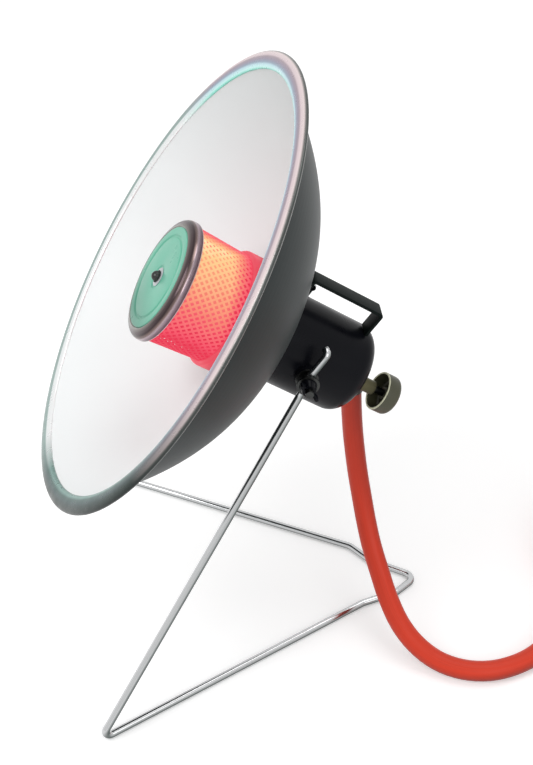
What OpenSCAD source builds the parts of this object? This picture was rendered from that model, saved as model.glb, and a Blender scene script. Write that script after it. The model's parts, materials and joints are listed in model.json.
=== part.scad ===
// Portable gas heater: a spun reflector with a burner in its middle, on a
// housing that tilts in a stand bent from one wire, fed by a rubber hose.
// Millimetres, +Z up, the reflector faces -Y. The origin is on the surface it
// stands on, under the middle of its width and length, the hose left out.

/* [Reflector] */
// Diameter over the rolled rim
rim_d = 350; // [335:5:365]
// Width of the rim, rolled outward and pressed flat
bead_d = 11; // [9:0.5:12]
// Thickness of the pressed rim
bead_t = 4.5; // [3.5:0.5:6]
// Depth from the middle of the bead to the flat bottom
bowl_depth = 83; // [78:1:88]
// How the bowl curves: 2 is a parabola, more is flatter at the bottom
bowl_power = 2.9; // [2.5:0.1:3.2]
// Thickness of the spun sheet
bowl_wall = 1; // [0.8:0.1:1.4]

/* [Housing] */
// Outer diameter of the housing can
can_d = 71; // [68:0.5:74]
// Wall of the housing can
can_wall = 1.2; // [1:0.1:1.6]
// From the tilt axis forward to the inside of the bowl's bottom
seat_front = 38; // [36:0.5:42]
// From the tilt axis back to the flat rear of the can
seat_back = 49; // [48:0.5:52]
// Radius of the can's rounded rear edge
can_round = 12.5; // [9:0.5:14]
// Diameter of the air holes in the can's rear
vent_d = 7; // [5:0.5:8]

/* [Handle] */
// Width of the handle's strap
strap_w = 14.5; // [12:0.5:18]
// Thickness of the handle's strap
strap_t = 2.5; // [2:0.1:3]
// Finger room between the strap and the can
handle_gap = 19.5; // [16:0.5:26]
// Length of the handle along the can
handle_len = 66; // [60:0.5:70]
// From the tilt axis forward to the front of the handle
handle_front = 30; // [27:0.5:30]

/* [Burner] */
// Outer diameter of the glowing mesh at its foot
mesh_d = 85; // [80:1:86]
// How much wider in radius the mesh is at the cap
mesh_flare = 1.9; // [0.5:0.1:2.2]
// Openings in one row round the mesh
mesh_columns = 28; // [20:1:30]
// Rows of openings in the mesh
mesh_rows = 7; // [5:1:8]
// Thickness of the mesh
mesh_t = 1; // [0.8:0.1:1.4]
// Height of the burner's base above the bowl's bottom
base_h = 34; // [32:1:38]
// Height of the mesh that shows between the base and the cap
mesh_h = 42.5; // [38:0.5:44]
// Diameter over the cap's polished rim
cap_d = 93; // [93:0.5:98]
// Depth of the cap's rim
cap_h = 8; // [7.5:0.5:12]
// Diameter of the cap's coloured face
face_d = 82.8; // [74:0.4:83.2]

/* [Controls] */
// Diameter of the control knob
knob_d = 31; // [28:0.5:34]
// Depth of the control knob
knob_h = 13; // [11:0.5:15]
// From the rear of the can back to the knob's open rim
knob_gap = 22; // [19:0.5:26]
// How far the knob presses in
knob_travel = 3; // [1:0.5:4]
// Diameter of the valve's spindle
spindle_d = 6; // [5:0.5:7]
// From the middle of the can out to the spindle
spindle_x = 10; // [9:0.5:12]
// From the middle of the can out to the gas inlet
inlet_x = 12; // [10:0.5:13]

/* [Stand] */
// Diameter of the stand's wire
wire_d = 6; // [5:0.5:7]
// Height of the tilt axis above the surface
pivot_h = 258; // [246:1:270]
// Half the width of the stand between its front corners
foot_half = 152; // [140:1:160]
// From the tilt axis forward to the front corners
foot_front = 169; // [160:1:175]
// From the tilt axis back to the bend of the nose
nose_back = 105; // [100:1:112]
// Length of the wire's tail past the pivot
tail_len = 19; // [14:1:22]
// Upward tilt of the reflector as it stands
rest_tilt = 34; // [24:1:44]

/* [Hose] */
// Outer diameter of the gas hose
hose_d = 16.5; // [16:0.1:16.8]
// Width across the flats of the coupling nut
nut_af = 21; // [19:0.5:22]
// Bore of the coupling nut's thread
nut_bore = 16; // [14.5:0.25:17]

/* [Hidden] */

black = "#1b1c20";
brass = "#b99a54";
steel = "#c9cbd0";
hose_red = "#d8492f";
slip = 0.05;       // between a shaft and its hole
gap = 0.1;         // between faces that turn on each other
round_fn = 96;

// the reflector, measured along the burner's axis from the tilt axis
rim_r = rim_d / 2;
bead_r = bead_d / 2;
rim_s = seat_front + bowl_depth;
bowl_r = rim_r - bead_d + 1;
can_r = can_d / 2;
can_in = can_r - can_wall;
flat_r = can_r + 1;
bowl_steps = 14;

// the burner
base_s = seat_front;
base_wall = 1.2;
mesh_r = mesh_d / 2;
mesh_top_r = mesh_r + mesh_flare;   // where it meets the cap
mesh_s = base_s + base_h;
mesh_foot = 2;                      // how deep the mesh stands in its seats
band_r = mesh_r + 3;
gauze_r = mesh_r - 5;
gauze_t = 0.8;
cap_s = mesh_s + mesh_h;            // rear edge of the cap
face_s = cap_s + cap_h;
cap_r = cap_d / 2;
face_r = face_d / 2;
cap_wall = 1;
cap_curl = 1.5;                     // radius of the rim's rolled rear edge
cap_round = 5;                      // depth of the rim's rounded front
plate_t = 1;
waist_h = 14;                       // base's height up to its widest part
band_h = 18;
bridge_s = base_s + band_h;
bridge_t = 3;
bridge_w = 12;
ledge = 3;
rod_r = 2.5;
rod_nut_af = 9;
rod_nut_t = 3;
tube_r = 12;
tube_flange_r = 16;
tube_flange_t = 2;
tube_back = -22;
port_r = 5;
port_s = -10;
screw_r = 2;
screw_ring = (tube_flange_r + can_in) / 2;
screw_head_r = 3.5;
screw_head_t = 2.2;
plate_w = 1.5;                      // thickness of the front plate
plate_skirt = 4.5;

// the valve
rear_s = -seat_back;
valve_back = rear_s + can_wall + gap;
valve_front = valve_back + 22;
neck_r = spindle_d / 2 + 2.5;
neck_len = 17;
gland_af = 2 * neck_r + 4;
gland_t = 5;
inlet_n = -6;
inlet_r = 5;
elbow_r = 5.5;
elbow_s = rear_s - 6.3;
elbow_drop = 7;
plunger_r = spindle_d / 2 - 0.6;
plunger_len = 8;
spindle_in = valve_back + 6;        // inner end of the spindle
jet_r = 3;
knob_s = rear_s - knob_gap;         // plane of the knob's open rim
knob_r = knob_d / 2;
knob_wall = 1.6;
knob_round = 4;
hub_r = spindle_d / 2 + 2;
hub_in = 5;                         // how deep the hub sits behind the rim
flat_cut = spindle_d / 2 - 0.9;     // from the spindle's middle to its flat

// the pivots, out from the middle of the can
boss_r = 9;
boss_x = can_r + 3.5;
neck_bush_r = 6;
bush_in = can_in - 3.2;
stud_r = 4;
stud_head_r = 6.5;
stud_head_t = 1.8;
eye_r = 5;
thread_r = 3;
washer_r = 8.5;
washer_t = 1.4;
wire_r = wire_d / 2;
wire_x = boss_x + 2 * gap + washer_t + gap + wire_r;
press_x = wire_x + wire_r + gap;
eye_end = press_x + washer_t - 0.3;
wing_x = press_x + washer_t + gap;
wing_h = 9;
thread_end = wing_x + wing_h + 1;

// the stand's wire: plan of the nose, heights and bends
shoulder_half = 34;
shoulder_back = 54;
near_bend = [25, nose_back - 21];
far_bend = [-14, nose_back - 37];
nose_x = 9;
foot_bend = 5;
soft_bend = 14;
nose_bend = 7;
lean = 65.5;                        // slope of the wire at the pivot
tail_lean = 56.5;                   // slope of the tail
below_pivot = 14;
above_pivot = 10;
hook_in = 5;
wire_step = 11;                     // degrees of a bend between two rings

// where the tilt axis stands: the middle of the length is the origin
front_reach = cos(rest_tilt) * rim_s + sin(rest_tilt) * (rim_r - bead_r)
    + norm([sin(rest_tilt) * bead_r, cos(rest_tilt) * bead_t / 2]);
// the nose's bend reaches this far back of the tilt axis
nose_in = unit([nose_x, nose_back] - near_bend);
nose_out = unit(far_bend - [nose_x, nose_back]);
nose_turn = turn_angle(nose_in, nose_out);
nose_mid = unit(nose_out - nose_in);
nose_reach = nose_back + nose_mid.y * nose_bend / cos(nose_turn / 2) + nose_bend + wire_r;
pivot_y = (front_reach - nose_reach) / 2;

// ---------------------------------------------------------------- helpers

function unit(v) = v / norm(v);

// the head's own frame: x across, y along the head's normal, z forward
module on_head() {
    translate([0, pivot_y, pivot_h]) rotate([90 - rest_tilt, 0, 0]) children();
}

// a point of the head's frame in the part's frame
function head_point(x, n, s) = [
    x,
    pivot_y - cos(rest_tilt) * s + sin(rest_tilt) * n,
    pivot_h + sin(rest_tilt) * s + cos(rest_tilt) * n
];

module turned(profile) {
    rotate_extrude($fn = round_fn) polygon(profile);
}

module ring(r_out, r_in, h) {
    difference() {
        cylinder(h = h, r = r_out, $fn = round_fn);
        translate([0, 0, -1]) cylinder(h = h + 2, r = r_in, $fn = round_fn);
    }
}

// a hexagonal prism, its flats af apart
module hexagon(af, h) {
    cylinder(h = h, d = af / cos(30), $fn = 6);
}

// stands its children's z axis along x, on the side given by 1 or -1
module on_side(side) {
    translate([0, pivot_y, pivot_h]) rotate([0, side * 90, 0]) children();
}

// --- round wire through corners, each corner [x, y, z, bend radius]

function corner(p) = [p.x, p.y, p.z];
function turn_angle(u, v) = acos(max(-1, min(1, u * v)));
function reach(path, i) =
    i == 0 || i == len(path) - 1 ? 0 :
    let (u = unit(corner(path[i]) - corner(path[i - 1])),
         v = unit(corner(path[i + 1]) - corner(path[i])))
    path[i][3] * tan(turn_angle(u, v) / 2);

// the points of the wire's line: each bend in equal steps of its angle
function bend_points(path, i) =
    let (q = corner(path[i]),
         u = unit(q - corner(path[i - 1])),
         v = unit(corner(path[i + 1]) - q),
         bend = path[i][3],
         inward = unit(v - u * (u * v)),
         centre = q - u * reach(path, i) + inward * bend,
         angle = turn_angle(u, v),
         steps = ceil(angle / wire_step))
    [for (k = [0 : steps])
        centre - inward * bend * cos(angle * k / steps) + u * bend * sin(angle * k / steps)];

function wire_route(path) = concat(
    [corner(path[0])],
    [for (i = [1 : len(path) - 2]) each bend_points(path, i)],
    [corner(path[len(path) - 1])]
);

// --- soft tube through its route's points, one ring of corners at each

function tangent(route, i) =
    let (last = len(route) - 1)
    i == 0 ? unit(route[1] - route[0]) :
    i == last ? unit(route[last] - route[last - 1]) :
    unit(unit(route[i + 1] - route[i]) + unit(route[i] - route[i - 1]));

function carried(route, side, i = 0, done = []) =
    i == len(route) ? done :
    let (t = tangent(route, i), kept = unit(side - t * (side * t)))
    carried(route, kept, i + 1, concat(done, [kept]));

module soft_tube(route, r, sides, side) {
    sideways = carried(route, side);
    rings = len(route);
    points = [
        for (i = [0 : rings - 1], k = [0 : sides - 1])
            let (t = tangent(route, i), e = sideways[i], f = cross(t, e), a = 360 * (k + 0.5) / sides)
            route[i] + r * (cos(a) * e + sin(a) * f)
    ];
    walls = [
        for (i = [0 : rings - 2], k = [0 : sides - 1])
            let (m = (k + 1) % sides, a = i * sides + k, b = i * sides + m,
                 c = a + sides, d = b + sides)
            each [[a, c, b], [b, c, d]]
    ];
    last = (rings - 1) * sides;
    ends = [for (k = [1 : sides - 2]) each [[0, k, k + 1], [last, last + k + 1, last + k]]];
    polyhedron(points, concat(walls, ends), convexity = 10);
}

// ------------------------------------------------------- reflector and can

function bowl_rise(r) =
    let (low = pow(flat_r / bowl_r, bowl_power))
    r <= flat_r ? 0 : bowl_depth * (pow(r / bowl_r, bowl_power) - low) / (1 - low);

function bowl_slope(r) =
    (bowl_rise(r + 0.01) - bowl_rise(r)) / 0.01;

function bowl_in(r) = [r, seat_front + bowl_rise(r)];
function bowl_out(r) =
    let (k = r <= flat_r ? 0 : bowl_slope(r), w = bowl_wall / sqrt(1 + k * k))
    [r + k * w, seat_front + bowl_rise(r) - w];

module reflector_dish() {
    last_r = bowl_r - 2;
    radii = [for (i = [0 : bowl_steps]) flat_r + (last_r - flat_r) * i / bowl_steps];
    bead = [for (a = [195 : -17 : -147])
        [rim_r - bead_r + bead_r * cos(a), rim_s + bead_t / 2 * sin(a)]];
    profile = concat(
        [[tube_r + 0.5, seat_front]],
        [for (r = radii) bowl_in(r)],
        bead,
        [for (i = [bowl_steps : -1 : 0]) bowl_out(radii[i])],
        [[tube_r + 0.5, seat_front - bowl_wall]]
    );
    color("#dfe0e2") on_head() difference() {
        turned(profile);
        screw_holes(seat_front - bowl_wall - 1, bowl_wall + 2);
    }
}

module screw_holes(s, h) {
    for (a = [90, 210, 330]) rotate([0, 0, a])
        translate([screw_ring, 0, s]) cylinder(h = h, r = screw_r + 0.2, $fn = 32);
}

module can_outline(r, back, edge) {
    front = seat_front - bowl_wall;
    union() {
        translate([0, back + edge]) square([r, front - back - edge]);
        translate([0, back]) square([r - edge, edge + 1]);
        translate([r - edge, back + edge]) circle(r = edge, $fn = 64);
    }
}

module housing_can() {
    inner_edge = can_round - can_wall;
    color(black) on_head() difference() {
        rotate_extrude($fn = round_fn) difference() {
            can_outline(can_r, rear_s, can_round);
            can_outline(can_in, rear_s + can_wall, inner_edge);
            translate([-1, seat_front - bowl_wall - 0.01]) square([can_r + 2, 2]);
        }
        // open front
        translate([0, 0, seat_front - bowl_wall - 2]) cylinder(h = 4, r = can_in, $fn = round_fn);
        // holes for the valve's neck, the gas inlet and the air
        translate([spindle_x, 0, rear_s - 1]) cylinder(h = can_wall + 2, r = neck_r + 0.2, $fn = 48);
        translate([-inlet_x, inlet_n, rear_s - 1])
            cylinder(h = can_wall + 2, r = inlet_r + 0.3, $fn = 48);
        for (a = [215 : 27.5 : 325]) rotate([0, 0, a])
            translate([can_r - can_round - vent_d / 2 + 1.5, 0, rear_s - 1])
                cylinder(h = can_wall + 2, d = vent_d, $fn = 32);
        // holes for the pivots
        rotate([0, 90, 0]) translate([0, 0, -can_r - 5])
            cylinder(h = 2 * can_r + 10, r = neck_bush_r + slip, $fn = 64);
        // slots for the handle's tabs
        for (s = tab_places) translate([-tab_w / 2 - 0.2, 0, s - 0.2])
            cube([tab_w + 0.4, can_r + 5, strap_t + 0.4]);
    }
}

module front_plate() {
    s = seat_front - bowl_wall - plate_w;
    r = can_in - slip;
    color(black) on_head() difference() {
        union() {
            translate([0, 0, s]) cylinder(h = plate_w, r = r, $fn = round_fn);
            translate([0, 0, s - plate_skirt]) ring(r, r - 1.2, plate_skirt + 0.5);
        }
        translate([0, 0, s - 1]) cylinder(h = plate_w + 2, r = tube_r + 0.1, $fn = 64);
        screw_holes(s - 1, plate_w + 2);
    }
}

// three screws hold the plate, the bowl and the burner's base together
module plate_screws() {
    s = seat_front - bowl_wall - plate_w;
    color(steel) on_head() for (a = [90, 210, 330]) rotate([0, 0, a])
        translate([screw_ring, 0, 0]) difference() {
            union() {
                translate([0, 0, s - screw_head_t])
                    cylinder(h = screw_head_t, r = screw_head_r, $fn = 32);
                translate([0, 0, s - 0.5])
                    cylinder(h = plate_w + bowl_wall + base_wall + 3.5, r = screw_r, $fn = 32);
            }
            translate([-screw_head_r, -0.4, s - screw_head_t - 1])
                cube([2 * screw_head_r, 0.8, 2]);
        }
}

// ------------------------------------------------------------------ handle

tab_w = strap_w - 5.5;
tab_places = [handle_front - strap_t, handle_front - handle_len];
tab_top = can_in - 0.6;
tab_fold = 7;

module strap_outline() {
    top = can_r + handle_gap + strap_t;
    back = handle_front - handle_len;
    difference() {
        offset_corner(back, handle_front, top, 4);
        translate([back + strap_t, -1]) square([handle_len - 2 * strap_t, top - strap_t + 1]);
    }
}

// an outline from 0 up to top, with its two upper corners rounded
module offset_corner(back, front, top, r) {
    translate([back, 0]) square([front - back, top - r]);
    translate([back + r, 0]) square([front - back - 2 * r, top]);
    translate([back + r, top - r]) circle(r = r, $fn = 48);
    translate([front - r, top - r]) circle(r = r, $fn = 48);
}

module carry_handle() {
    color(black) on_head() {
        difference() {
            along_x(strap_w) strap_outline();
            translate([0, 0, -can_d]) cylinder(h = 2 * can_d, r = can_r, $fn = round_fn);
        }
        // tabs through the can's wall, folded over inside it
        for (i = [0, 1]) {
            s = tab_places[i];
            fold = i == 0 ? s - tab_fold : s + strap_t;
            translate([-tab_w / 2, tab_top - strap_t, s])
                cube([tab_w, can_r - tab_top + strap_t + 1, strap_t]);
            translate([-tab_w / 2, tab_top - strap_t, fold]) cube([tab_w, strap_t, tab_fold]);
        }
    }
}

// stretches an outline drawn in (s, n) across the head, w wide
module along_x(w) {
    translate([w / 2, 0, 0]) rotate([0, -90, 0]) linear_extrude(w) children();
}

// ------------------------------------------------------------------ burner

module burner_base() {
    foot_r = can_in - 1;
    shoulder = 5;
    outer = [
        [foot_r, base_s],
        [band_r - 2, base_s + waist_h],
        [band_r, base_s + band_h],
        [band_r, mesh_s - shoulder],
        [band_r - 1.4, mesh_s - 1.6],
        [mesh_r + 0.6, mesh_s]
    ];
    color("#8d4440") on_head() difference() {
        turned(concat(
            [[tube_r + 0.1, base_s]],
            outer,
            [
                [mesh_r + 0.1, mesh_s],
                [mesh_r + 0.1, mesh_s - mesh_foot],
                [gauze_r - gauze_t - 1, mesh_s - mesh_foot],
                [gauze_r - gauze_t - 1, mesh_s - mesh_foot - 1.5],
                [band_r - base_wall, mesh_s - mesh_foot - 1.5],
                [band_r - base_wall, base_s + band_h],
                [band_r - 2 - base_wall, base_s + waist_h],
                [foot_r - base_wall, base_s + base_wall],
                [tube_r + 0.1, base_s + base_wall]
            ]
        ));
        screw_holes(base_s - 1, base_wall + 2);
    }
    // weld nuts for the three screws and two ledges for the bridge
    color("#8d4440") on_head() {
        for (a = [90, 210, 330]) rotate([0, 0, a])
            translate([screw_ring, 0, base_s + base_wall]) difference() {
                cylinder(h = 3, r = screw_head_r, $fn = 32);
                translate([0, 0, -1]) cylinder(h = 5, r = screw_r + slip, $fn = 32);
            }
        for (side = [-1, 1]) intersection() {
            translate([0, 0, bridge_s - ledge])
                ring(band_r - 1.6, band_r - base_wall - ledge, ledge);
            translate([side * band_r, 0, bridge_s])
                cube([2 * ledge + 6, bridge_w, 4 * ledge], center = true);
        }
    }
}

module mesh_bridge() {
    r = band_r - base_wall - 0.3;
    color(steel) on_head() difference() {
        intersection() {
            translate([-r, -bridge_w / 2, bridge_s]) cube([2 * r, bridge_w, bridge_t]);
            cylinder(h = bridge_s + bridge_t, r = r, $fn = round_fn);
        }
        translate([0, 0, bridge_s - 1]) cylinder(h = bridge_t + 2, r = rod_r + slip, $fn = 32);
    }
}

module tie_rod() {
    top = face_s + 4.5;
    color(steel) on_head() {
        translate([0, 0, bridge_s - 5]) cylinder(h = top - bridge_s + 5, r = rod_r, $fn = 32);
        translate([0, 0, bridge_s - rod_nut_t]) hexagon(rod_nut_af, rod_nut_t);
    }
}

module inner_gauze() {
    color("#f2a24a") on_head() translate([0, 0, mesh_s - mesh_foot])
        ring(gauze_r, gauze_r - gauze_t, mesh_h + 2 * mesh_foot - 0.3);
}

// the mesh: a sleeve with rows of diamond openings, each row half a pitch on
module radiant_mesh() {
    low = mesh_s - mesh_foot;
    high = cap_s + mesh_foot - 0.3;
    rows = mesh_rows + 1;
    around = 2 * mesh_columns;
    strand = 0.22;                  // strand's share of a diamond, from its middle
    step = (high - low) / rows;
    function at(i, j, wall) =
        let (a = 360 * i / around,
             r = mesh_r - wall * mesh_t + mesh_flare * max(0, j - 1) / (rows - 1))
        [r * cos(a), r * sin(a), low + j * step];
    lattice = around * (rows + 1);
    function id(i, j, wall) = wall * lattice + j * around + (i + around) % around;
    grid = [for (wall = [0, 1], j = [0 : rows], i = [0 : around - 1])
        at(i, j, wall)];
    // openings: centres at odd (i + j), away from the two edges
    holes = [for (j = [1 : rows - 1], i = [0 : around - 1]) if ((i + j) % 2 == 1) [i, j]];
    inner = 1 - strand;
    hole_points = [for (h = holes, wall = [0, 1], k = [[-1, 0], [0, -1], [1, 0], [0, 1]])
        at(h.x + inner * k.x, h.y + inner * k.y, wall)];
    hole_faces = [for (n = [0 : len(holes) - 1])
        let (i = holes[n].x, j = holes[n].y, base = 2 * lattice + 8 * n)
        for (k = [0 : 3])
            let (m = (k + 1) % 4,
                 ring_of = [[i - 1, j], [i, j - 1], [i + 1, j], [i, j + 1]],
                 a = ring_of[k], b = ring_of[m],
                 ao = id(a.x, a.y, 0), bo = id(b.x, b.y, 0),
                 ai = id(a.x, a.y, 1), bi = id(b.x, b.y, 1),
                 ho = base + k, mo = base + m, hi = base + 4 + k, mi = base + 4 + m)
            each [[ao, ho, bo], [bo, ho, mo], [ai, bi, hi], [bi, mi, hi],
                  [ho, hi, mo], [mo, hi, mi]]];
    // closed half diamonds and the sleeve's two edges
    edge_faces = [for (i = [0 : around - 1])
        let (a = id(i - 1, 0, 0), b = id(i + 1, 0, 0), c = id(i, 1, 0),
             ai = id(i - 1, 0, 1), bi = id(i + 1, 0, 1), ci = id(i, 1, 1))
        if (i % 2 == 1) each [[a, c, b], [ai, bi, ci], [a, b, ai], [b, bi, ai]]];
    top_faces = [for (i = [0 : around - 1])
        let (a = id(i - 1, rows, 0), b = id(i + 1, rows, 0), c = id(i, rows - 1, 0),
             ai = id(i - 1, rows, 1), bi = id(i + 1, rows, 1), ci = id(i, rows - 1, 1))
        if ((i + rows) % 2 == 1) each [[a, b, c], [ai, ci, bi], [a, ai, b], [b, ai, bi]]];
    color("#f0603c") on_head()
        polyhedron(concat(grid, hole_points), concat(hole_faces, edge_faces, top_faces), convexity = 12);
}

module cap_shell() {
    edge = cap_r - face_r;
    turn_s = face_s - cap_round;
    arc = [for (a = [90 : -15 : 0]) [face_r + edge * cos(a), turn_s + cap_round * sin(a)]];
    inner_arc = [for (a = [0 : 15 : 90])
        [face_r + (edge - cap_wall) * cos(a), turn_s + (cap_round - cap_wall) * sin(a)]];
    color("#d9d9de") on_head() turned(concat(
        [[rod_r + 0.3, face_s - 2], [face_r - 1, face_s - 2]],
        arc,
        [[cap_r, cap_s + cap_curl], [cap_r - cap_curl, cap_s], [mesh_top_r + 0.2, cap_s],
         [mesh_top_r + 0.2, cap_s + 0.9], [cap_r - cap_wall, cap_s + 2.1]],
        inner_arc,
        [[face_r - 1, face_s - 2 - cap_wall], [rod_r + 0.3, face_s - 2 - cap_wall]]
    ));
}

// the coloured face, stepped in rings
module cap_plate() {
    r = face_r - 1.2;
    s = face_s - 2;
    groove = 0.77 * r;
    color("#82c6b2") on_head() turned([
        [rod_r + 0.3, s], [r, s], [r, s + 1.6], [r - 1.5, s + 2.2],
        [groove + 1.6, s + 2.2], [groove + 0.6, s + 1.4], [groove - 0.6, s + 1.4],
        [groove - 1.6, s + 2], [rod_r + 7, s + 2], [rod_r + 6, s + 1.4],
        [rod_r + 3.4, s + 1.4], [rod_r + 3, s + 2], [rod_r + 0.3, s + 2]
    ]);
}

module cap_nut() {
    s = face_s;
    color(steel) on_head() difference() {
        union() {
            translate([0, 0, s]) hexagon(8, 3);
            translate([0, 0, s + 3]) intersection() {
                cylinder(h = 3.6, r = 4, $fn = 32);
                translate([0, 0, -0.6]) sphere(r = 4, $fn = 48);
            }
        }
        translate([0, 0, s - 1]) cylinder(h = 5.6, r = rod_r + slip, $fn = 32);
    }
}

// venturi: the jet's gas draws air in through the ports
module mixing_tube() {
    end = bridge_s - 6;
    color("#8b8d92") on_head() difference() {
        turned([
            [jet_r + slip, tube_back], [tube_r, tube_back], [tube_r, base_s + base_wall],
            [tube_flange_r, base_s + base_wall], [tube_flange_r, base_s + base_wall + tube_flange_t],
            [tube_r, base_s + base_wall + tube_flange_t], [tube_r, end],
            [tube_r - 1.5, end], [7, 12], [7, 2], [tube_r - 1.5, port_s + port_r + 2],
            [tube_r - 1.5, tube_back + 2], [jet_r + slip, tube_back + 2]
        ]);
        for (a = [45 : 90 : 315]) rotate([0, 0, a]) rotate([0, 90, 0])
            translate([-port_s, 0, 0]) cylinder(h = tube_r + 2, r = port_r, $fn = 32);
    }
}

module gas_jet() {
    color(brass) on_head() difference() {
        union() {
            translate([0, 0, valve_front]) hexagon(10, tube_back - valve_front);
            translate([0, 0, tube_back - 0.5]) cylinder(h = 5.5, r = jet_r, $fn = 32);
            translate([0, 0, tube_back + 5]) cylinder(h = 4, r1 = jet_r, r2 = 1.4, $fn = 32);
        }
        translate([0, 0, valve_front - 1]) cylinder(h = tube_back - valve_front + 6, r = 1.2, $fn = 24);
        translate([0, 0, valve_front]) cylinder(h = 20, r = 0.5, $fn = 16);
    }
}

// ------------------------------------------------------------------- valve

module valve_body() {
    color(brass) on_head() difference() {
        union() {
            translate([-inlet_x - 7, -13, valve_back])
                cube([inlet_x + spindle_x + 15, 22, valve_front - valve_back]);
            translate([spindle_x, 0, rear_s - neck_len])
                cylinder(h = neck_len + can_wall + 2, r = neck_r, $fn = 48);
            translate([-inlet_x, inlet_n, rear_s - gap])
                cylinder(h = can_wall + gap + 2, r = inlet_r, $fn = 48);
        }
        // spindle's bore, the plunger's blind bore and the inlet
        translate([spindle_x, 0, rear_s - neck_len - 1])
            cylinder(h = neck_len + 1.2 + spindle_in + knob_travel - rear_s,
                     r = spindle_d / 2 + slip, $fn = 48);
        translate([spindle_x, 0, rear_s])
            cylinder(h = spindle_in - rear_s + plunger_len + knob_travel + 0.5,
                     r = plunger_r + slip, $fn = 48);
        translate([-inlet_x, inlet_n, rear_s - 3]) cylinder(h = 14, r = 2.5, $fn = 32);
    }
}

module gland_nut() {
    color(steel) on_head() translate([spindle_x, 0, rear_s - gland_t]) difference() {
        hexagon(gland_af, gland_t);
        translate([0, 0, -1]) cylinder(h = gland_t + 2, r = neck_r + slip, $fn = 48);
    }
}

module inlet_elbow() {
    corner_at = head_point(-inlet_x, inlet_n, elbow_s);
    color(brass) {
        on_head() translate([-inlet_x, inlet_n, elbow_s])
            cylinder(h = rear_s - gap - elbow_s, r = elbow_r, $fn = 48);
        translate(corner_at) sphere(r = elbow_r + 0.5, $fn = 48);
        translate(corner_at - [0, 0, elbow_drop]) cylinder(h = elbow_drop, r = elbow_r, $fn = 48);
        translate(corner_at - [0, 0, elbow_drop]) cylinder(h = 3, r = hose_d / 2 - 0.8, $fn = 48);
    }
}

// a worm-drive clip round the hose's end
module hose_clip() {
    end = head_point(-inlet_x, inlet_n, elbow_s) - [0, 0, elbow_drop];
    r = hose_d / 2 + slip;
    color(steel) translate(end - [0, 0, 12]) {
        ring(r + 0.8, r, 9);
        translate([-r - 5.2, -4, 1]) difference() {
            cube([5, 8, 7]);
            translate([-1, 4, 3.5]) rotate([0, 90, 0]) cylinder(h = 3, r = 2, $fn = 24);
        }
    }
}

module valve_plunger() {
    color(steel) on_head() translate([spindle_x, 0, spindle_in + 0.05])
        cylinder(h = plunger_len, r = plunger_r, $fn = 32);
}

// the spindle's outer end carries a flat for the knob
module valve_spindle() {
    end = knob_s - knob_h + knob_wall + 0.5;
    color(steel) on_head() translate([spindle_x, 0, end]) difference() {
        cylinder(h = spindle_in - end, r = spindle_d / 2, $fn = 48);
        translate([flat_cut, -spindle_d, -1])
            cube([spindle_d, 2 * spindle_d, knob_s - hub_in - end + 1]);
    }
}

module control_knob() {
    back = knob_s - knob_h;
    hub_front = knob_s - hub_in;
    bore_end = knob_s - knob_h + knob_wall + 0.3;
    arc = [for (a = [-90 : 15 : 0])
        [knob_r - knob_round + knob_round * cos(a), back + knob_round + knob_round * sin(a)]];
    inner_arc = [for (a = [0 : -15 : -90])
        [knob_r - knob_round + (knob_round - knob_wall) * cos(a),
         back + knob_round + (knob_round - knob_wall) * sin(a)]];
    color("#55553f") on_head() translate([spindle_x, 0, 0]) {
        turned(concat(
            [[0, back]], arc, [[knob_r, knob_s], [knob_r - knob_wall, knob_s]], inner_arc,
            [[0, back + knob_wall]]
        ));
        difference() {
            translate([0, 0, back + 0.5]) cylinder(h = hub_front - back - 0.5, r = hub_r, $fn = 48);
            difference() {
                translate([0, 0, bore_end])
                    cylinder(h = knob_h, r = spindle_d / 2 + slip, $fn = 48);
                translate([flat_cut + slip, -spindle_d, back - 1])
                    cube([spindle_d, 2 * spindle_d, 2 * knob_h]);
            }
        }
    }
}

// ------------------------------------------------------------------ pivots

// a bush through the can's wall, its boss cut to sit on the can
module pivot_bush(side) {
    color(black) difference() {
        union() {
            difference() {
                on_side(side) translate([0, 0, can_in - 4])
                    cylinder(h = boss_x - can_in + 4, r = boss_r, $fn = 64);
                on_head() translate([0, 0, -can_d]) cylinder(h = 2 * can_d, r = can_r, $fn = round_fn);
            }
            on_side(side) translate([0, 0, bush_in])
                cylinder(h = boss_x - bush_in, r = neck_bush_r, $fn = 64);
        }
        on_side(side) translate([0, 0, bush_in - 1]) cylinder(h = boss_x, r = stud_r + slip, $fn = 64);
    }
}

// the stud turns in the bush; the stand's wire goes through its eye
module pivot_stud(side) {
    head_x = bush_in - gap - stud_head_t;
    color(steel) difference() {
        on_side(side) {
            translate([0, 0, head_x]) cylinder(h = stud_head_t, r = stud_head_r, $fn = 48);
            translate([0, 0, head_x]) cylinder(h = boss_x + gap - head_x, r = stud_r, $fn = 64);
            translate([0, 0, boss_x + gap]) cylinder(h = eye_end - boss_x - gap, r = eye_r, $fn = 64);
            translate([0, 0, eye_end - 1]) cylinder(h = thread_end - eye_end + 1, r = thread_r, $fn = 48);
        }
        translate([side * wire_x, pivot_y, pivot_h]) rotate([lean - 90, 0, 0])
            cylinder(h = 4 * eye_r, r = wire_r + slip, center = true, $fn = 48);
    }
}

module friction_washer(side) {
    color(steel) on_side(side) translate([0, 0, boss_x + gap]) ring(washer_r, eye_r + slip, washer_t);
}

module pressure_washer(side) {
    color(steel) on_side(side) translate([0, 0, press_x]) ring(washer_r, eye_r + slip, washer_t);
}

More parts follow.
